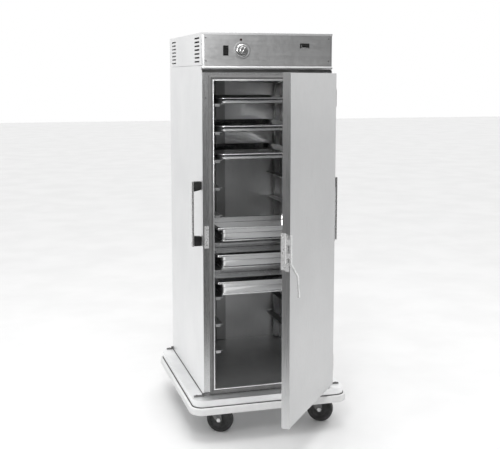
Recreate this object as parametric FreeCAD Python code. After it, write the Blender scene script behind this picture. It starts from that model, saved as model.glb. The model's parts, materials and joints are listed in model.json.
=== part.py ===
"""Proofing cabinet on casters: insulated body, one full-height door, top heating unit, pans.

Millimetres. +X is the cabinet's right side, +Y runs from the door to the back, +Z is up.
The origin is on the floor, under the centre of the insulated body.
The door is modelled partly open; the joint record takes this pose as zero.
"""
import FreeCAD, Part
import math
import os

from FreeCAD import Vector

# ---------------------------------------------------------------- driving sizes
BODY_W = 608.0            # outer width of the insulated body
BODY_D = 750.0            # outer depth of the insulated body
BODY_Z0 = 212.0           # underside of the body, which rests on the deck
BODY_Z1 = 1714.0          # top edge of the body's side skins
TOTAL_Z = 1858.0          # top of the head
SKIN = 1.2                # sheet metal of skins
HALF_W = BODY_W / 2
FRONT = -BODY_D / 2       # plane of the face frame
BACK = BODY_D / 2

CAVITY_HALF_W = 268.0     # inside of the liner
CAVITY_Z0 = 256.0         # floor at the back wall
CAVITY_Z1 = 1664.0
CAVITY_BACK = FRONT + 716.0

FRAME_TOP = 1684.0        # top edge of the face frame
RECESS_D = 40.0           # depth of the dark gap between the frame and the head
BREAKER_HALF_W = 275.0    # outer edge of the stepped strip round the opening
BREAKER_Z0 = 216.0
BREAKER_Z1 = 1672.2
BREAKER_SLOPE = 9.0       # width of each flank of its ridge
BREAKER_RISE = 4.0        # how far the ridge stands in front of the frame
OPENING_HALF_W = 252.5
OPENING_Z0 = 239.0
OPENING_Z1 = 1650.0

DOOR_GAP = 8.0            # face frame to the door's inner face
DOOR_T = 34.0
DOOR_Z0 = 228.0
DOOR_Z1 = 1681.0
DOOR_ANGLE = 52.0         # how far the door stands open
DOOR_IN = FRONT - DOOR_GAP
DOOR_OUT = DOOR_IN - DOOR_T
HINGE_X = HALF_W + 5.5    # the pins stand beside the door's outer face
HINGE_Y = DOOR_OUT + 4.0
HINGE_LEVELS = (330.0, 950.0, 1570.0)
HINGE_PIN_R = 2.5
HINGE_KNUCKLE_R = 4.5
RUNNING_FIT = 0.05        # radial clearance of pins and axles

LEVEL_COUNT = 10
LEVEL_PITCH = 127.0
LEVEL_TOP = 1545.0        # upper face of the highest pair of slides
SLIDE_INNER_X = 198.0
SLIDE_OUTER_X = 241.0
SLIDE_Y0 = FRONT + 58.0
SLIDE_Y1 = FRONT + 700.0
SLIDE_T = 1.6

PAN_HALF_W = 227.0
PAN_LENGTH = 638.0
PAN_Y0 = FRONT + 62.0
PAN_LIFT = 0.3            # clearance between a pan and its slides
SHEET_PAN_LEVELS = (1, 2, 3)
SHEET_PAN_H = 26.0
DEEP_PAN_LEVELS = (6, 7, 8)
DEEP_PAN_H = 67.0
DEEP_PAN_LENGTH = 330.0    # half-length pans, pushed in from the front

DECK_HALF_W = 363.0
DECK_Y0 = FRONT - 67.0
DECK_Y1 = BACK + 14.0
DECK_CORNER = 45.0
DECK_Z0 = 147.0
BUMPER_T = 14.0
BUMPER_Z0 = 145.5
BUMPER_Z1 = 179.0
BUMPER_GAP = 3.0          # open crevice between the bumper's top and the deck

WHEEL_R = 62.5
WHEEL_W = 32.0
AXLE_R = 6.0
CASTER_X = 251.0
CASTER_FRONT_Y = FRONT + 110.0
CASTER_REAR_Y = BACK - 110.0
CASTER_TRAIL = 50.0
CASTER_TOP = 157.5        # underside of the chassis rails
# where each caster points: the direction in which its wheel trails its pivot
CASTERS = {
    "front_left": (-CASTER_X, CASTER_FRONT_Y, -30.0),
    "front_right": (CASTER_X, CASTER_FRONT_Y, -30.0),
    "rear_left": (-CASTER_X, CASTER_REAR_Y, -90.0),
    "rear_right": (CASTER_X, CASTER_REAR_Y, -70.0),
}

PANEL_Z0 = 1697.0         # lower edge of the control panel's rolled rail
PANEL_RAIL_H = 15.0
PANEL_BEVEL = 11.0
SWITCH_X, SWITCH_Z = -195.8, 1780.0
TRUNNION_R = 2.0          # round pins the rocker tips on
KNOB_X, KNOB_Z = -120.6, 1780.7
PILOT_X, PILOT_Z = -126.0, 1827.7
DISPLAY_X, DISPLAY_Z = 171.0, 1803.0
CORD_X, CORD_Z = 205.0, 1752.0

HANDLE_Z0, HANDLE_Z1 = 905.0, 1200.0
HANDLE_Y0, HANDLE_Y1 = FRONT + 24.0, FRONT + 52.0
HANDLE_STAND_OFF = 34.0

X, Y, Z = Vector(1, 0, 0), Vector(0, 1, 0), Vector(0, 0, 1)


# ---------------------------------------------------------------- small helpers
def box(x0, x1, y0, y1, z0, z1):
    return Part.makeBox(x1 - x0, y1 - y0, z1 - z0, Vector(x0, y0, z0))


def rod(start, axis, radius, length):
    return Part.makeCylinder(radius, length, Vector(*start), axis)


def tube(start, axis, outer, inner, length):
    return rod(start, axis, outer, length).cut(rod(start, axis, inner, length))


def fuse(shapes):
    return shapes[0].multiFuse(shapes[1:]).removeSplitter()


def mirror_x(shape):
    return shape.mirror(Vector(0, 0, 0), X)


def polygon(points):
    return Part.Face(Part.makePolygon([Vector(*p) for p in points + points[:1]]))


def rounded_wire(x0, x1, y0, y1, radius, z):
    """Closed rectangle with round corners in a level plane."""
    arc_mid = radius * (1 - math.sqrt(0.5))
    corners = [
        ((x0, y0 + radius), (x0 + arc_mid, y0 + arc_mid), (x0 + radius, y0)),
        ((x1 - radius, y0), (x1 - arc_mid, y0 + arc_mid), (x1, y0 + radius)),
        ((x1, y1 - radius), (x1 - arc_mid, y1 - arc_mid), (x1 - radius, y1)),
        ((x0 + radius, y1), (x0 + arc_mid, y1 - arc_mid), (x0, y1 - radius)),
    ]
    edges = []
    for index, (start, middle, end) in enumerate(corners):
        points = [Vector(px, py, z) for px, py in (start, middle, end)]
        edges.append(Part.Arc(*points).toShape())
        following = Vector(*corners[(index + 1) % 4][0], z)
        edges.append(Part.makeLine(points[2], following))
    return Part.Wire(edges)


def rounded_slab(x0, x1, y0, y1, radius, z0, z1):
    return Part.Face(rounded_wire(x0, x1, y0, y1, radius, z0)).extrude(Vector(0, 0, z1 - z0))


def rectangle_wire(half_w, z0, z1, y):
    points = [(-half_w, y, z0), (half_w, y, z0), (half_w, y, z1), (-half_w, y, z1)]
    return Part.makePolygon([Vector(*p) for p in points + points[:1]])


def save(name, shape):
    shape.exportStep("parts/%s.step" % name)


def save_group(name, solids):
    save(name, Part.makeCompound(solids))


# ---------------------------------------------------------------- insulated body
def body_wrapper():
    """Outer skins: two sides, back, bottom and a top deck under the head."""
    shell = box(-HALF_W, HALF_W, FRONT, BACK, BODY_Z0, BODY_Z1)
    inside = box(-HALF_W + SKIN, HALF_W - SKIN, FRONT - 1, BACK - SKIN, BODY_Z0 + SKIN, BODY_Z1 + 1)
    top_deck = box(-HALF_W + SKIN, HALF_W - SKIN, FRONT + RECESS_D, BACK - SKIN,
                   BODY_Z1 - 12, BODY_Z1 - 12 + SKIN)
    panel_notch = box(-HALF_W - 1, HALF_W + 1, FRONT - 1, FRONT + 12, PANEL_Z0 - 2, BODY_Z1 + 1)
    return fuse([shell.cut(inside), top_deck]).cut(panel_notch)


def liner_prism(outset):
    """Cavity seen from the side, pushed outwards by outset; its floor falls gently to the sill."""
    front = FRONT + 9.2 - outset
    back = CAVITY_BACK + outset
    sill = OPENING_Z0 - 1.0
    outline = [
        (front, CAVITY_Z1 + outset),
        (back, CAVITY_Z1 + outset),
        (back, CAVITY_Z0 - outset),
        (front, sill - outset),
    ]
    half = CAVITY_HALF_W + outset
    face = polygon([(-half, py, pz) for py, pz in outline])
    return face.extrude(Vector(2 * half, 0, 0))


def liner():
    """Inner box with a rolled lip round the door opening."""
    shell = liner_prism(SKIN).cut(liner_prism(0))
    roll = 4.6
    doorway = box(-OPENING_HALF_W, OPENING_HALF_W, FRONT - 5, FRONT + 9.2, OPENING_Z0, OPENING_Z1)
    lip = box(-OPENING_HALF_W - roll, OPENING_HALF_W + roll, FRONT - 1, FRONT + 9.2,
              OPENING_Z0 - roll, OPENING_Z1 + roll)
    return fuse([shell.cut(doorway), lip.cut(doorway)])


def insulation():
    """Glass wool between the outer skins and the liner."""
    block = box(-HALF_W + SKIN, HALF_W - SKIN, FRONT + 7.6, BACK - SKIN, BODY_Z0 + SKIN, BODY_Z1 - 12)
    notch = box(-HALF_W, HALF_W, FRONT, FRONT + RECESS_D + 1, FRAME_TOP - 6, BODY_Z1)
    doorway = box(-OPENING_HALF_W - 5, OPENING_HALF_W + 5, FRONT, FRONT + 9.2, OPENING_Z0 - 5, OPENING_Z1 + 5)
    wool = block.cut(liner_prism(SKIN)).cut(notch).cut(doorway)
    for side in (-1, 1):
        wool = wool.cut(rod((side * 120.0, FRONT + 380, CAVITY_Z1), Z, 42, 80))
    return wool


def front_frame():
    """Stainless face frame, with the recessed ledge under the head."""
    plate = box(-HALF_W + SKIN, HALF_W - SKIN, FRONT, FRONT + 1.5, BODY_Z0 + SKIN, FRAME_TOP)
    hole = box(-BREAKER_HALF_W, BREAKER_HALF_W, FRONT - 1, FRONT + 3, BREAKER_Z0, BREAKER_Z1)
    ledge = box(-HALF_W + SKIN, HALF_W - SKIN, FRONT, FRONT + RECESS_D, FRAME_TOP - 1.5, FRAME_TOP)
    riser = box(-HALF_W + SKIN, HALF_W - SKIN, FRONT + RECESS_D - 1.5, FRONT + RECESS_D,
                FRAME_TOP - 1.5, BODY_Z1 - 12)
    return fuse([plate.cut(hole), ledge, riser])


def breaker_strip():
    """Ridged strip between the face frame and the liner; the door gasket closes on its crest."""
    crest_y = FRONT - BREAKER_RISE

    def outline(inset, y):
        return rectangle_wire(BREAKER_HALF_W - inset, BREAKER_Z0 + inset, BREAKER_Z1 - inset, y)

    inner = 2 * BREAKER_SLOPE - 0.4
    hill = Part.makeLoft([outline(0, FRONT), outline(BREAKER_SLOPE, crest_y)], True, True)
    hollow = Part.makeLoft([outline(BREAKER_SLOPE, crest_y), outline(inner, FRONT)], True, True)
    base = box(-BREAKER_HALF_W, BREAKER_HALF_W, FRONT, FRONT + 6, BREAKER_Z0, BREAKER_Z1)
    hole = box(-BREAKER_HALF_W + inner, BREAKER_HALF_W - inner, FRONT, FRONT + 6,
               BREAKER_Z0 + inner, BREAKER_Z1 - inner)
    return fuse([hill.cut(hollow), base.cut(hole)])


def rear_duct():
    """Folded cover on the back wall over the air riser."""
    x0, x1 = -75.0, -24.0
    y0 = CAVITY_BACK - 12.5
    outer = box(x0, x1, y0, CAVITY_BACK, CAVITY_Z0 + 2, CAVITY_Z1 - 2)
    inner = box(x0 + SKIN, x1 - SKIN, y0 + SKIN, CAVITY_BACK + 1, CAVITY_Z0 + 40, CAVITY_Z1 - 3)
    return outer.cut(inner)


def uprights():
    """Four channel posts that carry the slides."""
    posts = []
    web = 1.5
    for y0 in (FRONT + 64, FRONT + 668):
        outer = box(SLIDE_OUTER_X, CAVITY_HALF_W, y0, y0 + 30, CAVITY_Z0 + 6, 1630)
        inner = box(SLIDE_OUTER_X + web, CAVITY_HALF_W + 1, y0 + web, y0 + 30 - web, CAVITY_Z0, 1640)
        post = outer.cut(inner)
        posts += [post, mirror_x(post)]
    return posts


def level_z(level):
    """Upper face of the slides at a level, counted from 1 at the top."""
    return LEVEL_TOP - (level - 1) * LEVEL_PITCH


def slide(level):
    """Angle slide with a turned-down front end, on the right-hand side."""
    top = level_z(level)
    ledge = box(SLIDE_INNER_X, SLIDE_OUTER_X, SLIDE_Y0, SLIDE_Y1, top - SLIDE_T, top)
    flange = box(SLIDE_OUTER_X - SLIDE_T, SLIDE_OUTER_X, SLIDE_Y0 + 6, SLIDE_Y1, top - 20, top)
    nose = box(SLIDE_OUTER_X - 31, SLIDE_OUTER_X - 9, SLIDE_Y0, SLIDE_Y0 + SLIDE_T, top - 13, top)
    return fuse([ledge, flange, nose])


def slides():
    right = [slide(level) for level in range(1, LEVEL_COUNT + 1)]
    return right + [mirror_x(shape) for shape in right]


# ---------------------------------------------------------------- pans
def tray(low, high, z0, z1, shrink=0.0, length=PAN_LENGTH):
    """Tapered solid with rounded corners; low and high are (side inset, end inset, radius)."""
    wires = []
    for (side, end, radius), z in ((low, z0), (high, z1)):
        half = PAN_HALF_W - side - shrink
        gap = end + shrink
        wires.append(rounded_wire(-half, half, PAN_Y0 + gap, PAN_Y0 + length - gap, radius, z))
    return Part.makeLoft(wires, True, True)


def sheet_pan(level):
    """Shallow bun pan with a rolled rim."""
    base = level_z(level) + PAN_LIFT
    wall, roll = 1.2, 5.0
    top = base + SHEET_PAN_H
    low, high = (13, 15, 38), (roll, roll, 43)
    outer = tray(low, high, base, top)
    inner = tray(low, high, base + wall, top + 0.01, shrink=wall)
    rim = rounded_slab(-PAN_HALF_W, PAN_HALF_W, PAN_Y0, PAN_Y0 + PAN_LENGTH, 48, top - roll, top)
    return fuse([outer, rim]).cut(inner)


def deep_pan(level):
    """Half-length deep pan: low foot, stacking shoulder, wide flange turned down at its edge."""
    foot_z = level_z(level) + PAN_LIFT
    base, shoulder, top = foot_z + 10.0, foot_z + 42.0, foot_z + DEEP_PAN_H
    wall, skirt, length = 1.4, 9.0, DEEP_PAN_LENGTH
    low, high, upper, foot_plan = (26, 16, 20), (25, 14, 22), (21, 10, 25), (25, 24, 18)
    outer = fuse([
        tray(foot_plan, foot_plan, foot_z, base + wall, 0, length),
        tray(low, high, base, shoulder, 0, length),
        tray(upper, upper, shoulder - wall, top, 0, length),
    ])
    inner = fuse([
        tray(foot_plan, foot_plan, foot_z + wall, base + 2 * wall, wall, length),
        tray(low, high, base + wall, shoulder, wall, length),
        tray(upper, upper, shoulder, top + 0.01, wall, length),
    ])
    rim = rounded_slab(-PAN_HALF_W, PAN_HALF_W, PAN_Y0, PAN_Y0 + length, 12, top - skirt, top)
    under_rim = rounded_slab(-PAN_HALF_W + wall, PAN_HALF_W - wall, PAN_Y0 + wall, PAN_Y0 + length - wall,
                             12 - wall, top - skirt, top - wall)
    return fuse([outer, rim.cut(under_rim)]).cut(inner)


# ---------------------------------------------------------------- base and casters
def deck_slab(outset, z0, z1):
    return rounded_slab(-DECK_HALF_W - outset, DECK_HALF_W + outset, DECK_Y0 - outset, DECK_Y1 + outset,
                        DECK_CORNER + outset, z0, z1)


def base_deck():
    """Inverted tray that carries the body."""
    sheet = 2.0
    return deck_slab(0, DECK_Z0, BODY_Z0).cut(deck_slab(-sheet, DECK_Z0 - 1, BODY_Z0 - sheet))


def bumper():
    """Wrap-round bumper with eased edges and a crevice along its top, beside the deck."""
    bands = [
        (BUMPER_Z0, BUMPER_Z0 + 3, BUMPER_T - 3),
        (BUMPER_Z0 + 3, BUMPER_Z1 - 3, BUMPER_T),
        (BUMPER_Z1 - 3, BUMPER_Z1, BUMPER_T - 3),
    ]
    ring = fuse([deck_slab(outset, z0, z1) for z0, z1, outset in bands])
    crevice = deck_slab(BUMPER_GAP, BUMPER_Z1 - 4, BUMPER_Z1 + 1)
    return ring.cut(deck_slab(0, BUMPER_Z0 - 1, BUMPER_Z1 + 1)).cut(crevice)


def chassis_rails():
    """Two box rails under the deck, over the casters."""
    wall = 3.0
    half = 46.0
    rails = []
    for x in (-CASTER_X, CASTER_X):
        y0, y1 = DECK_Y0 + 12, DECK_Y1 - 12
        outer = box(x - half, x + half, y0, y1, CASTER_TOP, BODY_Z0 - 2)
        inner = box(x - half + wall, x + half - wall, y0 - 1, y1 + 1, CASTER_TOP + wall, BODY_Z0 - 2 - wall)
        rails.append(outer.cut(inner))
    return rails


def corner_brackets():
    """Angle clips that hold the body's corners down on the deck."""
    thick = 5.0
    solids = []
    for y_face, out, reach in ((FRONT, -1, 48), (BACK, 1, 34)):
        near, far = sorted((y_face - out * 3, y_face + out * 9))
        foot = box(HALF_W + 1, HALF_W + reach, near, far, BODY_Z0, BODY_Z0 + thick)
        tab_near, tab_far = sorted((y_face, y_face + out * thick))
        tab = box(HALF_W - 28, HALF_W + 10, tab_near, tab_far, BODY_Z0, BODY_Z0 + 14)
        bolt = rod((HALF_W + reach - 14, y_face + out * 3, BODY_Z0), Z, 5.5, 7)
        clip = fuse([foot, tab, bolt])
        solids += [clip, mirror_x(clip)]
    return solids


def caster_plates():
    """Top plates with the upper race of each swivel."""
    plates = []
    for x, y, _ in CASTERS.values():
        plate = box(x - 42, x + 42, y - 50, y + 50, CASTER_TOP - 4, CASTER_TOP)
        race = rod((x, y, CASTER_TOP - 11), Z, 27, 7.2)
        bolts = [rod((x + sx * 31, y + sy * 38, CASTER_TOP - 9), Z, 6.5, 5.2) for sx in (-1, 1) for sy in (-1, 1)]
        plates.append(fuse([plate, race] + bolts))
    return plates


def at_caster(shape, place):
    """Move a shape built at the origin, trailing towards +X, to a caster's pivot."""
    x, y, turn = place
    moved = shape.copy()
    moved.rotate(Vector(0, 0, 0), Z, turn)
    moved.translate(Vector(x, y, 0))
    return moved


def caster_fork(place):
    """Swivelling fork: a crown with two legs raked back to the axle."""
    leg = 4.0
    gap = WHEEL_W / 2 + 3
    crown_z0, crown_z1 = CASTER_TOP - 20, CASTER_TOP - 11.5
    crown = box(-30, CASTER_TRAIL + 6, -gap - leg, gap + leg, crown_z0, crown_z0 + 5)
    hub = rod((0, 0, crown_z0), Z, 24, crown_z1 - crown_z0)
    outline = [
        (-30, crown_z0 + 5),
        (CASTER_TRAIL + 6, crown_z0 + 5),
        (CASTER_TRAIL + 14, WHEEL_R),
        (CASTER_TRAIL + 8, WHEEL_R - 13),
        (CASTER_TRAIL - 8, WHEEL_R - 13),
    ]
    legs = []
    for side in (-1, 1):
        y0 = side * gap if side > 0 else -gap - leg
        legs.append(polygon([(px, y0, pz) for px, pz in outline]).extrude(Vector(0, leg, 0)))
    fork = fuse([crown, hub] + legs)
    fork = fork.cut(rod((CASTER_TRAIL, -60, WHEEL_R), Y, AXLE_R + RUNNING_FIT, 120))
    return at_caster(fork, place)


def caster_axle(place):
    """Axle bolt with its head and nut outside the fork's legs."""
    reach = WHEEL_W / 2 + 7
    shaft = rod((CASTER_TRAIL, -reach - 1, WHEEL_R), Y, AXLE_R, 2 * reach + 2)
    ends = [hex_head((CASTER_TRAIL, side * reach, WHEEL_R), Vector(0, side, 0), 10.5, 7) for side in (-1, 1)]
    return at_caster(fuse([shaft] + ends), place)


def hex_head(centre, axis, radius, height):
    """Hexagonal head or nut, its face at centre, standing along axis (a level direction)."""
    points = []
    for step in range(6):
        angle = math.radians(60 * step)
        points.append((centre[0] + radius * math.cos(angle), centre[1], centre[2] + radius * math.sin(angle)))
    return polygon(points).extrude(axis * height)


def caster_wheel(place):
    """Wheel with a rounded tread, dished faces and a hub; its bore runs on the axle."""
    half = WHEEL_W / 2
    profile = [
        (AXLE_R + RUNNING_FIT, -half - 2.4),
        (15, -half - 2.4),
        (17, -half + 5),
        (46, -half + 5),
        (50, -half),
        (WHEEL_R - 4, -half),
        (WHEEL_R, -half + 5),
        (WHEEL_R, half - 5),
        (WHEEL_R - 4, half),
        (50, half),
        (46, half - 5),
        (17, half - 5),
        (15, half + 2.4),
        (AXLE_R + RUNNING_FIT, half + 2.4),
    ]
    face = polygon([(CASTER_TRAIL + radius, across, WHEEL_R) for radius, across in profile])
    wheel = face.revolve(Vector(CASTER_TRAIL, 0, WHEEL_R), Y, 360)
    return at_caster(wheel, place)


# ---------------------------------------------------------------- head with the heating unit
def head_cover():
    """Cover of the heating unit: top, sides, back and a lip over the control panel."""
    z0 = BODY_Z1 + 1
    shell = box(-HALF_W, HALF_W, FRONT + 6, BACK, z0, TOTAL_Z)
    inside = box(-HALF_W + SKIN, HALF_W - SKIN, FRONT, BACK - SKIN, z0 - 1, TOTAL_Z - SKIN)
    lip = box(-HALF_W, HALF_W, FRONT - 1.6, FRONT + 6, TOTAL_Z - SKIN, TOTAL_Z)
    lip_face = box(-HALF_W, HALF_W, FRONT - 1.6, FRONT - 0.4, TOTAL_Z - 10, TOTAL_Z)
    cover = fuse([shell.cut(inside), lip, lip_face])
    slot_length, slot_height, slot_pitch = 102.0, 7.0, 17.2
    cutters = []
    for y0 in (FRONT + 48, FRONT + 589):
        for row in range(7):
            z = 1732 + row * slot_pitch
            cutters.append(box(-HALF_W - 5, HALF_W + 5, y0, y0 + slot_length, z - slot_height / 2, z + slot_height / 2))
    cutters.append(rod((CORD_X, BACK - 5, CORD_Z), Y, 8, 10))
    return cover.cut(Part.makeCompound(cutters))


def control_panel():
    """Front panel with bevelled ends and a rolled lower rail, cut out for its controls."""
    flat = HALF_W - PANEL_BEVEL
    sheet = 1.5
    top = TOTAL_Z - SKIN
    z0 = PANEL_Z0 + PANEL_RAIL_H / 2
    outline = [
        (-HALF_W, FRONT + 5),
        (-flat, FRONT),
        (flat, FRONT),
        (HALF_W, FRONT + 5),
        (HALF_W - 1, FRONT + 5.9),
        (flat, FRONT + sheet),
        (-flat, FRONT + sheet),
        (-HALF_W + 1, FRONT + 5.9),
    ]
    plate = polygon([(px, py, z0) for px, py in outline]).extrude(Vector(0, 0, top - z0))
    rail = rod((-HALF_W, FRONT + 3, z0), X, PANEL_RAIL_H / 2, BODY_W)
    rail = rail.cut(rod((-HALF_W - 1, FRONT + 3, z0), X, PANEL_RAIL_H / 2 - sheet, BODY_W + 2))
    panel = fuse([plate, rail])
    panel = panel.cut(box(SWITCH_X - 10.2, SWITCH_X + 10.2, FRONT - 2, FRONT + 3, SWITCH_Z - 20, SWITCH_Z + 20))
    panel = panel.cut(rod((KNOB_X, FRONT - 2, KNOB_Z), Y, 6, 6))
    panel = panel.cut(rod((PILOT_X, FRONT - 2, PILOT_Z), Y, 4, 6))
    return panel.cut(box(DISPLAY_X - 19, DISPLAY_X + 19, FRONT - 2, FRONT + 3, DISPLAY_Z - 8, DISPLAY_Z + 8))


def switch_bezel():
    """Frame and rear housing of the power switch, with the bearings of the rocker."""
    frame = box(SWITCH_X - 12, SWITCH_X + 12, FRONT - 2.5, FRONT, SWITCH_Z - 22, SWITCH_Z + 22)
    housing = box(SWITCH_X - 10, SWITCH_X + 10, FRONT, FRONT + 26, SWITCH_Z - 19.8, SWITCH_Z + 19.8)
    well = box(SWITCH_X - 8.6, SWITCH_X + 8.6, FRONT - 3, FRONT + 12, SWITCH_Z - 18.6, SWITCH_Z + 18.6)
    bearings = rod((SWITCH_X - 9.6, FRONT + 5, SWITCH_Z), X, TRUNNION_R + RUNNING_FIT, 19.2)
    return fuse([frame, housing]).cut(well).cut(bearings)


def rocker():
    """Rocker tipped to its lower side; it turns about a level axis behind the panel."""
    half_h, face = 16.4, FRONT - 5.0
    outline = [
        (FRONT + 6, SWITCH_Z - 9),
        (face + 2, SWITCH_Z - half_h),
        (face, SWITCH_Z - half_h + 1.5),
        (face + 1.6, SWITCH_Z),
        (face, SWITCH_Z + half_h - 1.5),
        (face + 2, SWITCH_Z + half_h),
        (FRONT + 6, SWITCH_Z + 9),
    ]
    body = polygon([(SWITCH_X - 8.2, py, pz) for py, pz in outline]).extrude(Vector(16.4, 0, 0))
    body.rotate(Vector(SWITCH_X, FRONT + 5, SWITCH_Z), X, 5)
    trunnions = rod((SWITCH_X - 9.4, FRONT + 5, SWITCH_Z), X, TRUNNION_R, 18.8)
    return fuse([body, trunnions])


def knob():
    """Thermostat knob: a skirt, a grip and a raised pointer that stands at about one o'clock."""
    skirt = rod((KNOB_X, FRONT - 5, KNOB_Z), Y, 28, 4)
    grip = Part.makeCone(17, 19.5, 16, Vector(KNOB_X, FRONT - 21, KNOB_Z), Y)
    pointer = box(KNOB_X - 3, KNOB_X + 3, FRONT - 24, FRONT - 5, KNOB_Z - 17, KNOB_Z + 22)
    body = fuse([skirt, grip, pointer]).cut(rod((KNOB_X, FRONT - 15, KNOB_Z), Y, 3 + RUNNING_FIT, 20))
    body.rotate(Vector(KNOB_X, FRONT, KNOB_Z), Y, 35)
    return body


def thermostat():
    """Thermostat body behind the panel, with the shaft that carries the knob."""
    case = box(KNOB_X - 24, KNOB_X + 24, FRONT + 1.5, FRONT + 40, KNOB_Z - 30, KNOB_Z + 22)
    collar = rod((KNOB_X, FRONT, KNOB_Z), Y, 5.5, 2)
    shaft = rod((KNOB_X, FRONT - 14.5, KNOB_Z), Y, 3, 17)
    return fuse([case, collar, shaft])


def pilot_lamp():
    """Round pilot lamp: lens in front, housing behind the panel."""
    lens = Part.makeCone(4, 5.5, 4.5, Vector(PILOT_X, FRONT - 4.5, PILOT_Z), Y)
    housing = rod((PILOT_X, FRONT, PILOT_Z), Y, 3.9, 24)
    return fuse([lens, housing])


def thermometer():
    """Sealed digital thermometer: surround, case and a recessed window."""
    frame = box(DISPLAY_X - 22, DISPLAY_X + 22, FRONT - 2.2, FRONT, DISPLAY_Z - 11, DISPLAY_Z + 11)
    case = box(DISPLAY_X - 18.8, DISPLAY_X + 18.8, FRONT, FRONT + 30, DISPLAY_Z - 7.8, DISPLAY_Z + 7.8)
    well = box(DISPLAY_X - 17.5, DISPLAY_X + 17.5, FRONT - 3, FRONT - 0.8, DISPLAY_Z - 6.5, DISPLAY_Z + 6.5)
    return fuse([frame, case]).cut(well)


BLOWER_Y = FRONT + 380.0
BLOWER_Z = BODY_Z1 - 12 + SKIN


def blower_housing():
    """Round casing over the fan wheel, open below and at one side outlet."""
    casing = rod((120, BLOWER_Y, BLOWER_Z), Z, 95, 62)
    outlet = box(-160, 120, BLOWER_Y - 48, BLOWER_Y + 48, BLOWER_Z, BLOWER_Z + 62)
    hollow = rod((120, BLOWER_Y, BLOWER_Z - 1), Z, 93.5, 61.5)
    channel = box(-158.5, 120, BLOWER_Y - 46.5, BLOWER_Y + 46.5, BLOWER_Z - 1, BLOWER_Z + 60.5)
    shell = fuse([casing, outlet]).cut(hollow).cut(channel)
    return shell.cut(rod((120, BLOWER_Y, BLOWER_Z), Z, 12, 80))


def blower_wheel():
    """Fan wheel: a back plate with a ring of blades, on the motor's shaft."""
    base = BLOWER_Z + 8
    plate = rod((120, BLOWER_Y, base + 42), Z, 72, 2)
    ring = tube((120, BLOWER_Y, base), Z, 72, 66, 3)
    hub = rod((120, BLOWER_Y, base + 24), Z, 10, 20)
    blades = []
    for step in range(24):
        blade = box(120 + 60, 120 + 71, BLOWER_Y - 1, BLOWER_Y + 1, base + 1, base + 43)
        blade.rotate(Vector(120, BLOWER_Y, 0), Z, 15 * step)
        blades.append(blade)
    wheel = fuse([plate, ring, hub] + blades)
    return wheel.cut(rod((120, BLOWER_Y, base), Z, 4 + RUNNING_FIT, 60))


def blower_motor():
    """Fan motor on top of the casing; its shaft reaches down into the wheel."""
    top = BLOWER_Z + 62
    can = rod((120, BLOWER_Y, top + 2), Z, 40, 58)
    flange = rod((120, BLOWER_Y, top), Z, 52, 3)
    shaft = rod((120, BLOWER_Y, top - 28), Z, 4, 30)
    return fuse([can, flange, shaft])


def heating_element():
    """Sheathed element: two legs joined by a half-round bend, in the outlet channel."""
    z, bend, sheath = BLOWER_Z + 30, 24.0, 4.0
    legs = [rod((-10, BLOWER_Y + side * bend, z), -X, sheath, 110) for side in (-1, 1)]
    ring = Part.makeTorus(bend, sheath, Vector(-120, BLOWER_Y, z), Z)
    ring = ring.common(box(-160, -120, BLOWER_Y - 40, BLOWER_Y + 40, z - 10, z + 10))
    posts = [rod((-14, BLOWER_Y + side * bend, BLOWER_Z), Z, 3, 30) for side in (-1, 1)]
    return fuse(legs + [ring] + posts)


def water_pan():
    """Humidity pan beside the fan casing, fed by hand."""
    outer = box(-250, -175, BLOWER_Y - 110, BLOWER_Y + 110, BLOWER_Z, BLOWER_Z + 45)
    inner = box(-248.8, -176.2, BLOWER_Y - 108.8, BLOWER_Y + 108.8, BLOWER_Z + 1.2, BLOWER_Z + 50)
    return outer.cut(inner)


def cord_inlet():
    """Inlet gland for the mains lead, low on the back of the head."""
    flange = rod((CORD_X, BACK, CORD_Z), Y, 17, 4)
    neck = rod((CORD_X, BACK + 3, CORD_Z), Y, 12, 12)
    body = fuse([flange, neck])
    return body.cut(rod((CORD_X, BACK - 1, CORD_Z), Y, 5.5, 20))


# ---------------------------------------------------------------- fittings on the body
def strike_plate():
    """Flat steel plate on the left stile that the latch magnet closes on."""
    plate = box(-297, -277, FRONT - 3, FRONT, 899, 1000)
    for z in (914, 984):
        plate = plate.cut(rod((-287, FRONT - 4, z), Y, 2.6, 2.5))
    return plate


def handle_bars():
    """Push handles: one flat bar at each side, near the front corners."""
    x0 = HALF_W + HANDLE_STAND_OFF
    bar = box(x0, x0 + 10, HANDLE_Y0, HANDLE_Y1, HANDLE_Z0, HANDLE_Z1)
    upright_edges = [e for e in bar.Edges if abs(e.Vertexes[0].Z - e.Vertexes[-1].Z) > 100]
    bar = bar.makeFillet(4.0, upright_edges)
    return [bar, mirror_x(bar)]


def handle_mounts():
    """Moulded stand-offs between each bar and the body's side."""
    mounts = []
    x0, x1 = HALF_W, HALF_W + HANDLE_STAND_OFF
    for z0, z1, flare in ((HANDLE_Z0 + 1, HANDLE_Z0 + 44, 3), (HANDLE_Z1 - 38, HANDLE_Z1 - 1, -8)):
        low, high = (z0, z1 + flare) if flare > 0 else (z0 + flare, z1)
        outline = [(x0, z0), (x1, low), (x1, high), (x0, z1)]
        block = polygon([(px, HANDLE_Y0 + 2, pz) for px, pz in outline])
        block = block.extrude(Vector(0, HANDLE_Y1 - HANDLE_Y0 - 4, 0))
        mounts += [block, mirror_x(block)]
    return mounts


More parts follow.
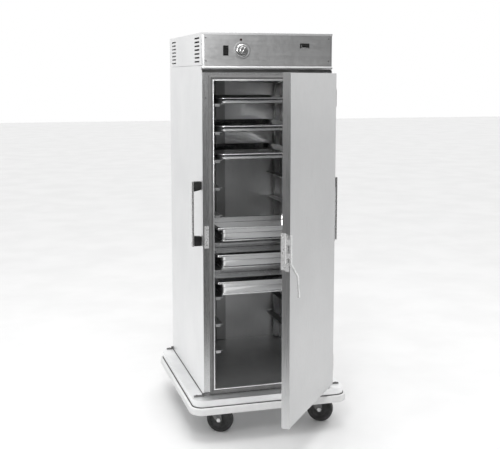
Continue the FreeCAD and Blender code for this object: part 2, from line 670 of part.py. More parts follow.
def hinge_body_leaves():
    """Leaves on the body's right side; an upper and a lower ear reach forward to the pin."""
    x0, x1 = HALF_W, HALF_W + 4.5
    leaves = []
    for z in HINGE_LEVELS:
        parts = [box(x0, x1, FRONT + 1, FRONT + 25, z - 36, z + 36)]
        for z0, z1 in ((z - 36, z - 13), (z + 13, z + 36)):
            parts.append(box(x0 + 1.2, x1, HINGE_Y, FRONT + 2, z0, z1))
            parts.append(rod((HINGE_X, HINGE_Y, z0), Z, HINGE_KNUCKLE_R, z1 - z0))
        leaves.append(fuse(parts).cut(rod((HINGE_X, HINGE_Y, z - 40), Z, HINGE_PIN_R, 80)))
    return leaves


def hinge_pins():
    pins = []
    for z in HINGE_LEVELS:
        pin = rod((HINGE_X, HINGE_Y, z - 38), Z, HINGE_PIN_R, 76)
        caps = [rod((HINGE_X, HINGE_Y, z + end), Z, 4.2, 3) for end in (-39.2, 36.2)]
        pins.append(fuse([pin] + caps))
    return pins


# ---------------------------------------------------------------- door, built shut and then swung open
def swing_open(shape):
    opened = shape.copy()
    opened.rotate(Vector(HINGE_X, HINGE_Y, 0), Z, DOOR_ANGLE)
    return opened


def door_outer_panel():
    """Outer skin folded round all four edges of the door."""
    outer = box(-HALF_W, HALF_W, DOOR_OUT, DOOR_IN, DOOR_Z0, DOOR_Z1)
    inner = box(-HALF_W + SKIN, HALF_W - SKIN, DOOR_OUT + SKIN, DOOR_IN + 1, DOOR_Z0 + SKIN, DOOR_Z1 - SKIN)
    return outer.cut(inner)


def door_inner_panel():
    """Inner skin with a shallow raised field."""
    edge = SKIN
    plate = box(-HALF_W + edge, HALF_W - edge, DOOR_IN - SKIN, DOOR_IN, DOOR_Z0 + edge, DOOR_Z1 - edge)
    field = box(-235, 235, DOOR_IN, DOOR_IN + 2.5, DOOR_Z0 + 55, DOOR_Z1 - 55)
    return fuse([plate, field])


def door_insulation():
    return box(-HALF_W + SKIN, HALF_W - SKIN, DOOR_OUT + SKIN, DOOR_IN - SKIN, DOOR_Z0 + SKIN, DOOR_Z1 - SKIN)


def door_gasket():
    """Flat gasket that closes on the crest of the ridged strip."""
    half, grow = BREAKER_HALF_W - BREAKER_SLOPE, 8.0
    z1 = BREAKER_Z1 - BREAKER_SLOPE
    y1 = FRONT - BREAKER_RISE - 0.4
    z_low = DOOR_Z0 + 1
    outer = box(-half - grow, half + grow, DOOR_IN, y1, z_low, z1 + grow)
    inner = box(-half + grow, half - grow, DOOR_IN - 1, y1 + 1, z_low + 10, z1 - grow)
    return outer.cut(inner)


def hinge_door_leaves():
    """Leaves on the door's hinge edge, each with the middle knuckle."""
    leaves = []
    for z in HINGE_LEVELS:
        leaf = box(HALF_W, HALF_W + 2.5, DOOR_OUT + 2, DOOR_IN - 2, z - 12.5, z + 12.5)
        knuckle = rod((HINGE_X, HINGE_Y, z - 12.5), Z, HINGE_KNUCKLE_R, 25)
        leaf = fuse([leaf, knuckle])
        leaf = leaf.cut(rod((HINGE_X, HINGE_Y, z - 40), Z, HINGE_PIN_R + RUNNING_FIT, 80))
        leaves.append(swing_open(leaf))
    return leaves


# latch: a plate on the free edge, an upright pivot barrel and a cranked lever
LATCH_X = -HALF_W
LATCH_PIVOT_X = LATCH_X - 7.0
LATCH_PIVOT_Y = DOOR_OUT + 12.5
LATCH_Z0, LATCH_Z1 = 893.0, 1043.0
LATCH_PIN_R = 2.5
LATCH_BARREL_R = 5.2
LEVER_SLEEVES = ((941.0, 966.0), (996.0, 1021.0))


def latch_body():
    """Edge plate with fixing holes and the fixed knuckles of the lever's pivot."""
    plate = box(LATCH_X - 3, LATCH_X, DOOR_OUT + 19, FRONT - 3.4, LATCH_Z0, LATCH_Z1)
    web = box(LATCH_X - 3, LATCH_X, DOOR_OUT + 7, DOOR_OUT + 20, 889, 1036)
    parts = [plate, web]
    for z0, z1 in ((922, 940.4), (966.6, 995.4), (1021.6, 1036)):
        parts.append(rod((LATCH_PIVOT_X, LATCH_PIVOT_Y, z0), Z, LATCH_BARREL_R, z1 - z0))
        parts.append(box(LATCH_PIVOT_X, LATCH_X, LATCH_PIVOT_Y - 3, LATCH_PIVOT_Y + 3, z0, z1))
    parts.append(box(LATCH_X - 9, LATCH_X, DOOR_OUT + 3, DOOR_OUT + 12, 889, 921))
    body = fuse(parts).cut(rod((LATCH_PIVOT_X, LATCH_PIVOT_Y, 880), Z, LATCH_PIN_R, 170))
    for z in (901.6, 915, 945, 998.3, 1030):
        body = body.cut(rod((LATCH_X - 3.5, DOOR_IN - 3, z), X, 2.4, 2.5))
    for z0, z1 in LEVER_SLEEVES:
        body = body.cut(rod((LATCH_PIVOT_X, LATCH_PIVOT_Y, z0 - 0.4), Z, LATCH_BARREL_R + 0.4, z1 - z0 + 0.8))
    return swing_open(body)


def latch_pin():
    pin = rod((LATCH_PIVOT_X, LATCH_PIVOT_Y, 922), Z, LATCH_PIN_R, 115)
    cap = rod((LATCH_PIVOT_X, LATCH_PIVOT_Y, 1036.2), Z, 4.4, 2.5)
    return swing_open(fuse([pin, cap]))


def latch_magnet():
    """Magnet strip behind the latch plate's inner edge, facing the strike."""
    magnet = box(LATCH_X + 7, LATCH_X + 27, DOOR_IN, FRONT - 3.4, 905, 994)
    return swing_open(magnet)


def latch_lever():
    """Lever: two sleeves on the pin, an upright bar beside the door's corner and an offset grip."""
    bar_x = LATCH_PIVOT_X
    bar_y = DOOR_OUT - 6.0
    grip_y = DOOR_OUT - 36.0
    half_w, half_t = 7.0, 3.4
    outline = [
        (bar_y + half_t, 1037),
        (bar_y - half_t, 1037),
        (bar_y - half_t, 922),
        (grip_y + 1 - half_t, 874),
        (grip_y - 5 - half_t, 788),
        (grip_y - 5 + half_t, 788),
        (grip_y + 1 + half_t, 872),
        (bar_y + half_t, 918),
    ]
    bar = polygon([(bar_x - half_w, py, pz) for py, pz in outline]).extrude(Vector(2 * half_w, 0, 0))
    parts = [bar]
    for z0, z1 in LEVER_SLEEVES:
        parts.append(rod((LATCH_PIVOT_X, LATCH_PIVOT_Y, z0), Z, LATCH_BARREL_R, z1 - z0))
        arm_x0, arm_x1 = LATCH_PIVOT_X - 5.0, LATCH_PIVOT_X - 0.5
        parts.append(box(arm_x0, arm_x1, bar_y, LATCH_PIVOT_Y, z0 + 2, z1 - 2))
    lever = fuse(parts).cut(rod((LATCH_PIVOT_X, LATCH_PIVOT_Y, 880), Z, LATCH_PIN_R + RUNNING_FIT, 150))
    return swing_open(lever)


def screws():
    """Pan-head screws of the strike, the hinge leaves, the control panel and the left stile."""
    heads = []
    for z in (914, 984):
        heads.append(rod((-287, FRONT - 3.3, z), Y, 2.5, 1.6))
    for z in HINGE_LEVELS:
        for dz in (-24, 0, 24):
            heads.append(rod((HALF_W + 4.5, FRONT + 14, z + dz), X, 3.4, 1.6))
    for x in (-1, 1):
        for z in (1735, 1835):
            heads.append(rod((x * 286, FRONT, z), -Y, 3.4, 1.6))
    heads.append(rod((-288, FRONT, 1572), -Y, 4.5, 1.6))
    return heads


def main():
    os.makedirs("parts", exist_ok=True)
    single = {
        "body_wrapper": body_wrapper(),
        "insulation": insulation(),
        "liner": liner(),
        "front_frame": front_frame(),
        "breaker_strip": breaker_strip(),
        "rear_duct": rear_duct(),
        "base_deck": base_deck(),
        "bumper": bumper(),
        "head_cover": head_cover(),
        "control_panel": control_panel(),
        "switch_bezel": switch_bezel(),
        "rocker": rocker(),
        "knob": knob(),
        "thermostat": thermostat(),
        "pilot_lamp": pilot_lamp(),
        "thermometer": thermometer(),
        "blower_housing": blower_housing(),
        "blower_wheel": blower_wheel(),
        "blower_motor": blower_motor(),
        "heating_element": heating_element(),
        "water_pan": water_pan(),
        "cord_inlet": cord_inlet(),
        "strike_plate": strike_plate(),
        "door_outer_panel": swing_open(door_outer_panel()),
        "door_inner_panel": swing_open(door_inner_panel()),
        "door_insulation": swing_open(door_insulation()),
        "door_gasket": swing_open(door_gasket()),
        "latch_body": latch_body(),
        "latch_pin": latch_pin(),
        "latch_magnet": latch_magnet(),
        "latch_lever": latch_lever(),
    }
    for level in SHEET_PAN_LEVELS:
        single["sheet_pan_%d" % level] = sheet_pan(level)
    for level in DEEP_PAN_LEVELS:
        single["deep_pan_%d" % level] = deep_pan(level)
    for name, place in CASTERS.items():
        single["caster_fork_" + name] = caster_fork(place)
        single["caster_axle_" + name] = caster_axle(place)
        single["caster_wheel_" + name] = caster_wheel(place)
    for name, shape in single.items():
        save(name, shape)
    groups = {
        "uprights": uprights(),
        "slides": slides(),
        "chassis_rails": chassis_rails(),
        "corner_brackets": corner_brackets(),
        "caster_plates": caster_plates(),
        "handle_bars": handle_bars(),
        "handle_mounts": handle_mounts(),
        "hinge_body_leaves": hinge_body_leaves(),
        "hinge_pins": hinge_pins(),
        "hinge_door_leaves": hinge_door_leaves(),
        "screws": screws(),
    }
    for name, solids in groups.items():
        save_group(name, solids)


main()
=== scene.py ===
import json
import math

import bmesh
import bpy
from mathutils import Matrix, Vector


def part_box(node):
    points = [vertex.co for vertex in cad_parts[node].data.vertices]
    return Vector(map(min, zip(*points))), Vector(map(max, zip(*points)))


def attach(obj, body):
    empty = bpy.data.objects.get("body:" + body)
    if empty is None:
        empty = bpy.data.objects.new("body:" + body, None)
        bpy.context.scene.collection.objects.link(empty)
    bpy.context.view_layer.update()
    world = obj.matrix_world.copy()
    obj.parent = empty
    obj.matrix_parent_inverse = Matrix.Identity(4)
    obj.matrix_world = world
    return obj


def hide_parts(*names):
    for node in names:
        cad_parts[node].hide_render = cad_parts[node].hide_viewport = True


# Proofing cabinet, door ajar: steel skins, dark cavity, pans on slides, bumper base and casters.
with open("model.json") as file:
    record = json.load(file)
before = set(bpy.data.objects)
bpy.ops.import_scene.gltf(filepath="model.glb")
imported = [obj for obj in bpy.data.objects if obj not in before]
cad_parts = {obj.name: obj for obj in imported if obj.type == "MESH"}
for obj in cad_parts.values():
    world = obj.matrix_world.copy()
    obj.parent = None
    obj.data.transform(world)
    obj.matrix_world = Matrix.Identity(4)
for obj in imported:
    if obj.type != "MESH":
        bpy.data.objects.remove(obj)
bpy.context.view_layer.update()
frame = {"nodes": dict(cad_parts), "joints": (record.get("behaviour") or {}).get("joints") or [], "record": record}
nodes = frame["nodes"]
record = frame["record"]

MM = 0.001
DOOR_ANGLE = 52.0        # degrees the door stands open at rest
HEAD_GAP = 13 * MM       # open height between the frame and the head
CASTER_NAMES = ("front_left", "front_right", "rear_left", "rear_right")
SHEET_PANS = ("sheet_pan_1", "sheet_pan_2", "sheet_pan_3")
DEEP_PANS = ("deep_pan_6", "deep_pan_7", "deep_pan_8")

SHEET_PAN_CORNER = 48 * MM
SHEET_PAN_ROLL = 2.6 * MM    # radius of the rolled rim
SHEET_PAN_WALL = 1.2 * MM
DEEP_PAN_RIM = 3.2           # radius of the flange's rolled edge, mm
BUMPER_T = 14 * MM
BUMPER_EDGE = 5 * MM         # radius of the bumper's long edges
BUMPER_CORNER = 59 * MM
WHEEL_HALF_W = 16 * MM
WHEEL_SHOULDER = 6 * MM      # radius between tread and face
WHEEL_BORE_R = 6.05 * MM
KNOB_TURN = 35               # degrees of the pointer from upright at rest
FLOOR_SIZE = 30.0
FLOOR_FRONT_EDGE = -1.6
ROUNDING_ANGLE = 32          # edges sharper than this many degrees are rounded
WELD_DISTANCE = 0.02 * MM
PLAIN_ROUNDING = (0.4, 2)


# ------------------------------------------------------------------ node helpers
def new_tree(name):
    mat = bpy.data.materials.new(name)
    mat.use_nodes = True
    tree = mat.node_tree
    tree.nodes.clear()
    out = tree.nodes.new("ShaderNodeOutputMaterial")
    shader = tree.nodes.new("ShaderNodeBsdfPrincipled")
    tree.links.new(shader.outputs[0], out.inputs[0])
    return mat, tree, shader


def coords(tree, scale, turn=0.0):
    """Object coordinates, turned about Z so that grain follows a swung part, then stretched."""
    source = tree.nodes.new("ShaderNodeTexCoord")
    spin = tree.nodes.new("ShaderNodeMapping")
    spin.inputs["Rotation"].default_value = (0, 0, math.radians(turn))
    stretch = tree.nodes.new("ShaderNodeMapping")
    stretch.inputs["Scale"].default_value = scale
    tree.links.new(source.outputs["Object"], spin.inputs["Vector"])
    tree.links.new(spin.outputs[0], stretch.inputs["Vector"])
    return stretch.outputs[0]


def noise(tree, vector, scale=1.0, detail=3.0, rough=0.55):
    node = tree.nodes.new("ShaderNodeTexNoise")
    node.inputs["Scale"].default_value = scale
    node.inputs["Detail"].default_value = detail
    node.inputs["Roughness"].default_value = rough
    tree.links.new(vector, node.inputs["Vector"])
    return node.outputs["Fac"]


def remap(tree, value, from_low, from_high, low, high):
    node = tree.nodes.new("ShaderNodeMapRange")
    node.interpolation_type = "SMOOTHSTEP"
    for key, number in zip(("From Min", "From Max", "To Min", "To Max"), (from_low, from_high, low, high)):
        node.inputs[key].default_value = number
    tree.links.new(value, node.inputs["Value"])
    return node.outputs[0]


def math_node(tree, kind, a, b):
    node = tree.nodes.new("ShaderNodeMath")
    node.operation = kind
    for socket, value in zip(node.inputs, (a, b)):
        if isinstance(value, (int, float)):
            socket.default_value = value
        else:
            tree.links.new(value, socket)
    return node.outputs[0]


def mix_colour(tree, fac, a, b):
    node = tree.nodes.new("ShaderNodeMix")
    node.data_type = "RGBA"
    colour_inputs = [s for s in node.inputs if s.type == "RGBA"]
    for socket, value in zip(colour_inputs, (a, b)):
        if isinstance(value, tuple):
            socket.default_value = (*value, 1.0)
        else:
            tree.links.new(value, socket)
    tree.links.new(fac, node.inputs[0])
    return [s for s in node.outputs if s.type == "RGBA"][0]


def bump(tree, height, strength, distance, below=None):
    node = tree.nodes.new("ShaderNodeBump")
    node.inputs["Strength"].default_value = strength
    node.inputs["Distance"].default_value = distance
    tree.links.new(height, node.inputs["Height"])
    if below is not None:
        tree.links.new(below, node.inputs["Normal"])
    return node.outputs[0]


def shade(grey, tint=0.0):
    """Neutral grey, pulled a touch to the cool side by tint."""
    return (grey * (1 - tint), grey, grey * (1 + tint))


# ------------------------------------------------------------------ materials
def sheet_metal(name, grey, rough, grain="z", turn=0.0, metallic=1.0, waviness=0.35, scratches=0.5, dirt=0.0,
                streak=0.0, groove=0.12, cloudy=1.0, spotty=1.0):
    """Rolled sheet: fine directional grain, slow waves in the sheet, a few hair scratches."""
    mat, tree, shader = new_tree(name)
    along, across = 9.0, 1400.0
    stretch = {"z": (across, across, along), "x": (along, across, across), "y": (across, along, across)}[grain]
    grain_value = noise(tree, coords(tree, stretch, turn), detail=2.0)
    plain = coords(tree, (1, 1, 1), turn)
    cloud = noise(tree, plain, 3.2, 4.0)
    speckle = noise(tree, plain, 55.0, 5.0, 0.7)
    hair_scale = {"z": (900, 900, 14), "x": (14, 900, 900), "y": (900, 14, 900)}[grain]
    hair = noise(tree, coords(tree, hair_scale, turn), detail=1.0)
    hair_mark = remap(tree, hair, 0.66, 0.74, 0.0, scratches)
    dark = shade(grey * (1 - 0.10 * cloudy), 0.006)
    light = shade(min(grey * (1 + 0.06 * cloudy), 1.0), 0.004)
    colour = mix_colour(tree, remap(tree, cloud, 0.3, 0.7, 0.0, 1.0), dark, light)
    colour = mix_colour(tree, remap(tree, grain_value, 0.35, 0.65, 0.0, 0.22), colour, shade(grey * 0.86))
    if streak:
        bands = {"z": (14, 14, 0.8), "x": (0.8, 60, 60), "y": (14, 0.8, 14)}[grain]
        band = noise(tree, coords(tree, bands, turn), detail=4.0, rough=0.6)
        colour = mix_colour(tree, remap(tree, band, 0.35, 0.65, 0.0, streak), colour, shade(grey * 0.84))
    if dirt:
        colour = mix_colour(tree, remap(tree, speckle, 0.52, 0.75, 0.0, dirt), colour, shade(grey * 0.45))
    tree.links.new(colour, shader.inputs["Base Color"])
    roughness = remap(tree, grain_value, 0.2, 0.8, rough - 0.05, rough + 0.07)
    spots = remap(tree, speckle, 0.3, 0.75, -0.02 * spotty, 0.05 * spotty)
    roughness = math_node(tree, "ADD", roughness, spots)
    roughness = math_node(tree, "ADD", roughness, math_node(tree, "MULTIPLY", hair_mark, 0.12))
    tree.links.new(roughness, shader.inputs["Roughness"])
    wave = bump(tree, cloud, waviness, 0.004)
    grooves = bump(tree, grain_value, groove, 0.00006, wave)
    grooves = bump(tree, hair_mark, groove * 0.8, 0.00004, grooves)
    tree.links.new(grooves, shader.inputs["Normal"])
    shader.inputs["Metallic"].default_value = metallic
    shader.inputs["Anisotropic"].default_value = 0.25
    return mat


def cast_metal(name, grey, rough, pit=0.25, metallic=1.0):
    """Plated or cast small parts: pitted sheen with darker blotches."""
    mat, tree, shader = new_tree(name)
    plain = coords(tree, (1, 1, 1))
    fine = noise(tree, plain, 900.0, 3.0)
    blotch = noise(tree, plain, 70.0, 4.0, 0.65)
    colour = mix_colour(tree, remap(tree, blotch, 0.35, 0.68, 0.0, 1.0), shade(grey), shade(grey * 0.72))
    tree.links.new(colour, shader.inputs["Base Color"])
    roughness = remap(tree, blotch, 0.3, 0.7, rough - 0.06, rough + 0.12)
    tree.links.new(roughness, shader.inputs["Roughness"])
    tree.links.new(bump(tree, fine, pit, 0.00015), shader.inputs["Normal"])
    shader.inputs["Metallic"].default_value = metallic
    return mat


def moulded(name, grey, rough, grain=1500.0, strength=0.3, tint=(0.0, 0.0, 0.0), specular=0.4, dust=0.15):
    """Moulded plastic or rubber: leathery micro texture, slight dusting."""
    mat, tree, shader = new_tree(name)
    plain = coords(tree, (1, 1, 1))
    fine = noise(tree, plain, grain, 3.0, 0.6)
    blotch = noise(tree, plain, 24.0, 5.0, 0.65)
    base = tuple(grey + t for t in tint)
    lighter = tuple(min(1.0, c + (1 - c) * dust) for c in base)
    colour = mix_colour(tree, remap(tree, blotch, 0.35, 0.75, 0.0, 1.0), base, lighter)
    tree.links.new(colour, shader.inputs["Base Color"])
    tree.links.new(remap(tree, blotch, 0.3, 0.7, rough - 0.05, rough + 0.1), shader.inputs["Roughness"])
    tree.links.new(bump(tree, fine, strength, 0.0002), shader.inputs["Normal"])
    shader.inputs["Specular IOR Level"].default_value = specular
    return mat


def fibre(name, colour_a, colour_b):
    """Glass wool."""
    mat, tree, shader = new_tree(name)
    strands = noise(tree, coords(tree, (400, 400, 60)), detail=6.0, rough=0.7)
    tufts = noise(tree, coords(tree, (1, 1, 1)), 60.0, 6.0, 0.7)
    colour = mix_colour(tree, remap(tree, tufts, 0.3, 0.7, 0.0, 1.0), colour_a, colour_b)
    tree.links.new(colour, shader.inputs["Base Color"])
    tree.links.new(remap(tree, strands, 0.2, 0.8, 0.85, 1.0), shader.inputs["Roughness"])
    tree.links.new(bump(tree, strands, 0.8, 0.002), shader.inputs["Normal"])
    return mat


MATERIALS = {
    "skin_steel": sheet_metal("skin_steel", 0.83, 0.42, "z", waviness=0.05, scratches=0.1,
                              cloudy=0.35, spotty=0.3),
    "door_steel": sheet_metal("door_steel", 0.57, 0.30, "z", -DOOR_ANGLE, waviness=0.04, scratches=0.04,
                              groove=0.03, cloudy=0.4, spotty=0.05),
    "liner_steel": sheet_metal("liner_steel", 0.60, 0.34, "z", metallic=0.9, waviness=0.35),
    # darker copy of the liner steel: painted shade on the rear duct
    "duct_painted_shade": sheet_metal("duct_painted_shade", 0.34, 0.38, "z", metallic=0.9, waviness=0.1),
    "frame_steel": sheet_metal("frame_steel", 0.56, 0.28, "z", waviness=0.02, scratches=0.03,
                               groove=0.02, cloudy=0.4, spotty=0.05),
    "panel_steel": sheet_metal("panel_steel", 0.62, 0.36, "x", waviness=0.05, scratches=0.3, streak=0.5),
    "rack_steel": sheet_metal("rack_steel", 0.55, 0.32, "y", waviness=0.1),
    "post_steel": sheet_metal("post_steel", 0.30, 0.40, "z", waviness=0.1),
    "pan_aluminium": sheet_metal("pan_aluminium", 0.70, 0.19, "x", waviness=0.02, scratches=0.2, dirt=0.05,
                                 groove=0.01),
    "deck_steel": sheet_metal("deck_steel", 0.88, 0.44, "x", waviness=0.06),
    # near-black look for the strips and beads that paint shade into joints and gaps
    "painted_shade_dark": moulded("painted_shade_dark", 0.05, 0.6, 1200.0, 0.2, specular=0.2, dust=0.05),
    "bumper_grey": moulded("bumper_grey", 0.70, 0.42, 900.0, 0.12, dust=0.2),
    "glass_wool": fibre("glass_wool", (0.62, 0.52, 0.22), (0.78, 0.70, 0.42)),
    "gasket_grey": moulded("gasket_grey", 0.16, 0.6, 1200.0, 0.3),
    "black_plastic": moulded("black_plastic", 0.010, 0.46, 1600.0, 0.25, specular=0.22, dust=0.015),
    "breaker_plastic": moulded("breaker_plastic", 0.14, 0.40, 1600.0, 0.12, dust=0.05),
    "knob_chrome": cast_metal("knob_chrome", 0.90, 0.12, 0.03),
    # lighter copy of the liner steel: painted highlight on the doorway's rolled bead
    "lip_steel_painted_highlight": sheet_metal("lip_steel_painted_highlight", 0.82, 0.30, "z", waviness=0.04),
    "zinc_steel": cast_metal("zinc_steel", 0.80, 0.26, 0.06),
    "dark_zinc": cast_metal("dark_zinc", 0.20, 0.38, 0.08),
    "latch_cast": cast_metal("latch_cast", 0.90, 0.30, 0.05, metallic=0.6),
    "knob_grip": cast_metal("knob_grip", 0.46, 0.22, 0.03, metallic=0.9),
    "screw_steel": cast_metal("screw_steel", 0.34, 0.30, 0.06),
    "magnet_dark": cast_metal("magnet_dark", 0.08, 0.5, 0.3),
    "wheel_tread": moulded("wheel_tread", 0.042, 0.55, 1100.0, 0.3, specular=0.25, dust=0.06),
    "lamp_lens": moulded("lamp_lens", 0.012, 0.14, 500.0, 0.05, tint=(0.012, -0.004, -0.004), dust=0.01),
    "fan_steel": sheet_metal("fan_steel", 0.42, 0.45, "z", dirt=0.2),
    "element_sheath": cast_metal("element_sheath", 0.22, 0.5, 0.4),
    "dial_print": sheet_metal("dial_print", 0.40, 0.45, "x", waviness=0.05),
    "window_dark": moulded("window_dark", 0.006, 0.10, 700.0, 0.02, specular=0.5, dust=0.005),
    "pale_print": moulded("pale_print", 0.62, 0.5, 900.0, 0.05, dust=0.05),
}
# looks that differ from the material slot of the node
LOOK_OF_NODE = {"breaker_strip": "breaker_plastic", "control_panel": "panel_steel", "uprights": "post_steel",
                "corner_brackets": "dark_zinc", "caster_plates": "dark_zinc", "rear_duct": "duct_painted_shade",
                "strike_plate": "latch_cast", "screws": "screw_steel"}
LOOK_OF_NODE.update({"caster_fork_" + c: "dark_zinc" for c in CASTER_NAMES})
# width in mm and segments of the rounding put on each CAD node's sharp edges
EDGE_ROUNDING = {
    "body_wrapper": (0.5, 2), "liner": (0.4, 2), "front_frame": (0.6, 2), "head_cover": (0.5, 2),
    "control_panel": (0.6, 2), "door_outer_panel": (0.55, 2), "door_inner_panel": (0.5, 2),
    "breaker_strip": (1.4, 3), "door_gasket": (1.0, 2), "handle_mounts": (2.5, 3), "rear_duct": (0.5, 2),
    "uprights": (0.6, 2), "slides": (0.7, 2), "base_deck": (0.9, 3), "strike_plate": (0.8, 2),
    "latch_body": (0.8, 2), "latch_lever": (1.6, 3), "rocker": (1.0, 3), "switch_bezel": (0.5, 2),
    "thermometer": (0.6, 2), "corner_brackets": (0.9, 2), "caster_plates": (0.9, 2), "handle_bars": (1.6, 3),
    "hinge_body_leaves": (0.6, 2), "hinge_door_leaves": (0.6, 2), "screws": (0.5, 2), "thermostat": (0.8, 2),
    "chassis_rails": (1.2, 2), "cord_inlet": (1.2, 3), "pilot_lamp": (0.6, 2), "latch_magnet": (0.8, 2),
    "water_pan": (0.5, 2), "blower_housing": (0.5, 2), "blower_motor": (1.0, 2), "hinge_pins": (0.7, 2),
    "latch_pin": (0.6, 2),
}
EDGE_ROUNDING.update({"caster_fork_" + c: (0.9, 2) for c in CASTER_NAMES})
EDGE_ROUNDING.update({"caster_axle_" + c: (0.8, 2) for c in CASTER_NAMES})

slot_of = {entry["node"]: entry["material_slot"] for entry in record["subparts"]}


def dress(obj, material):
    obj.data.materials.clear()
    obj.data.materials.append(material)


def soften(obj, width_mm, segments):
    """Weld a CAD node's split corners and round its sharp edges, as modifiers on top of it."""
    custom = obj.data.attributes.get("custom_normal")
    if custom:
        obj.data.attributes.remove(custom)
    for polygon in obj.data.polygons:
        polygon.use_smooth = True
    weld = obj.modifiers.new("weld", "WELD")
    weld.merge_threshold = WELD_DISTANCE
    rounding = obj.modifiers.new("rounding", "BEVEL")
    rounding.width = width_mm * MM
    rounding.segments = segments
    rounding.limit_method = "ANGLE"
    rounding.angle_limit = math.radians(ROUNDING_ANGLE)
    rounding.use_clamp_overlap = True
    rounding.miter_outer = "MITER_ARC"
    weighted = obj.modifiers.new("weighted", "WEIGHTED_NORMAL")
    weighted.keep_sharp = True
    weighted.weight = 60


for node_name, obj in nodes.items():
    look = LOOK_OF_NODE.get(node_name, slot_of[node_name])
    dress(obj, MATERIALS[look])
    soften(obj, *EDGE_ROUNDING.get(node_name, PLAIN_ROUNDING))


# ------------------------------------------------------------------ mesh helpers
def joint_of(child):
    """The joint that carries the body named child."""
    return next(j for j in frame["joints"] if j["child"] == child)


def link_mesh(name, verts, faces, material, body, stands_for=()):
    """Smooth mesh object that rides on a body and may stand for CAD nodes."""
    mesh = bpy.data.meshes.new(name)
    mesh.from_pydata(verts, [], faces)
    mesh.validate()
    work = bmesh.new()
    work.from_mesh(mesh)
    bmesh.ops.recalc_face_normals(work, faces=work.faces)
    work.to_mesh(mesh)
    work.free()
    for polygon in mesh.polygons:
        polygon.use_smooth = True
    obj = bpy.data.objects.new(name, mesh)
    bpy.context.scene.collection.objects.link(obj)
    dress(obj, material)
    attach(obj, body)
    if stands_for:
        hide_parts(*stands_for)


def rounded_ring(x0, x1, y0, y1, radius, z, steps=10):
    """Points round a rectangle with round corners, the same count whatever its size."""
    radius = max(radius, 0.0002)
    centres = [(x1 - radius, y1 - radius, 0), (x0 + radius, y1 - radius, 90),
               (x0 + radius, y0 + radius, 180), (x1 - radius, y0 + radius, 270)]
    points = []
    for cx, cy, start in centres:
        for step in range(steps + 1):
            angle = math.radians(start + 90 * step / steps)
            points.append((cx + radius * math.cos(angle), cy + radius * math.sin(angle), z))
    return points


def loft(rings, closed=False, cap=True):
    """Faces between rings of equal length; closed joins the last ring to the first."""
    count = len(rings[0])
    verts = [point for ring in rings for point in ring]
    faces = []
    total = len(rings)
    for level in range(total if closed else total - 1):
        low, high = level * count, ((level + 1) % total) * count
        for i in range(count):
            j = (i + 1) % count
            faces.append((low + i, low + j, high + j, high + i))
    if cap and not closed:
        faces.append(tuple(range(count - 1, -1, -1)))
        faces.append(tuple(range((total - 1) * count, total * count)))
    return verts, faces


def lathe(profile, centre, axis, steps=64):
    """Closed profile of (radius, along) points revolved about axis through centre."""
    axis = Vector(axis).normalized()
    side = axis.orthogonal().normalized()
    other = axis.cross(side)
    rings = []
    for step in range(steps):
        angle = 2 * math.pi * step / steps
        out = side * math.cos(angle) + other * math.sin(angle)
        rings.append([tuple(centre + out * r + axis * a) for r, a in profile])
    return loft(rings, closed=True)


def arc_points(cx, cz, radius, start, end, steps):
    """(across, height) points on an arc, angles in degrees."""
    found = []
    for step in range(steps + 1):
        angle = math.radians(start + (end - start) * step / steps)
        found.append((cx + radius * math.cos(angle), cz + radius * math.sin(angle)))
    return found


# ------------------------------------------------------------------ pans
def pan_rings(low, high, profile):
    """profile is a list of (inset, corner radius, height above the pan's foot)."""
    return [rounded_ring(low.x + i, high.x - i, low.y + i, high.y - i, r, low.z + h)
            for i, r, h in profile]


def make_sheet_pan(name):
    """Shallow pan: eased foot, leaning wall and a rolled rim."""
    low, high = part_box(name)
    height = high.z - low.z
    roll, wall = SHEET_PAN_ROLL, SHEET_PAN_WALL
    profile = [(17 * MM, 34 * MM, 0.0), (14.2 * MM, 38 * MM, 0.9 * MM)]
    profile += [(12.8 * MM, 39 * MM, 3 * MM), (5.6 * MM, 43 * MM, height - 2 * roll)]
    for across, up in arc_points(roll, height - roll, roll, 250, 30, 8):
        profile.append((across, SHEET_PAN_CORNER - across, up))
    profile += [(5.6 * MM + wall, 42 * MM, height - 2 * roll), (13.2 * MM + wall, 37 * MM, 4.5 * MM),
                (15.5 * MM + wall, 34 * MM, 1.9 * MM), (20 * MM, 30 * MM, wall)]
    verts, faces = loft(pan_rings(low, high, profile))
    link_mesh(name + "_look", verts, faces, MATERIALS["pan_aluminium"], name, [name])


for pan in SHEET_PANS:
    make_sheet_pan(pan)


def deep_pan_outside(top):
    """Rows of (side inset, end inset, corner radius, height) in mm, from the foot up to the flange's lip."""
    foot = [(26.6, 25.4, 17, 0.0), (25.2, 24.2, 18, 1.0), (25.2, 24.2, 18, 9.0)]
    lower_edge = [(30.4 + 4.6 * across, 20.4 + 4.6 * across, 20, 14.2 + 4.2 * up)
                  for across, up in arc_points(0, 0, 1, 270, 180, 4)]
    shoulder = [(25.1, 14.3, 22, 38.6), (24.2, 13.2, 22.6, 39.8),
                (22.0, 11.0, 24, 40.8), (21.1, 10.2, 25, 42.4)]
    under_flange = [(20.6, 9.8, 25, top - 3.0), (19.6, 9.0, 25, top - 1.8), (18.0, 8.0, 22, top - 1.5)]
    lip = [(1.7, 1.7, 10.4, top - 1.9), (1.5, 1.5, 10.6, top - 8.0), (0.8, 0.8, 11.3, top - 8.9),
           (0, 0, 12, top - 8.0)]
    return foot + lower_edge + shoulder + under_flange + lip


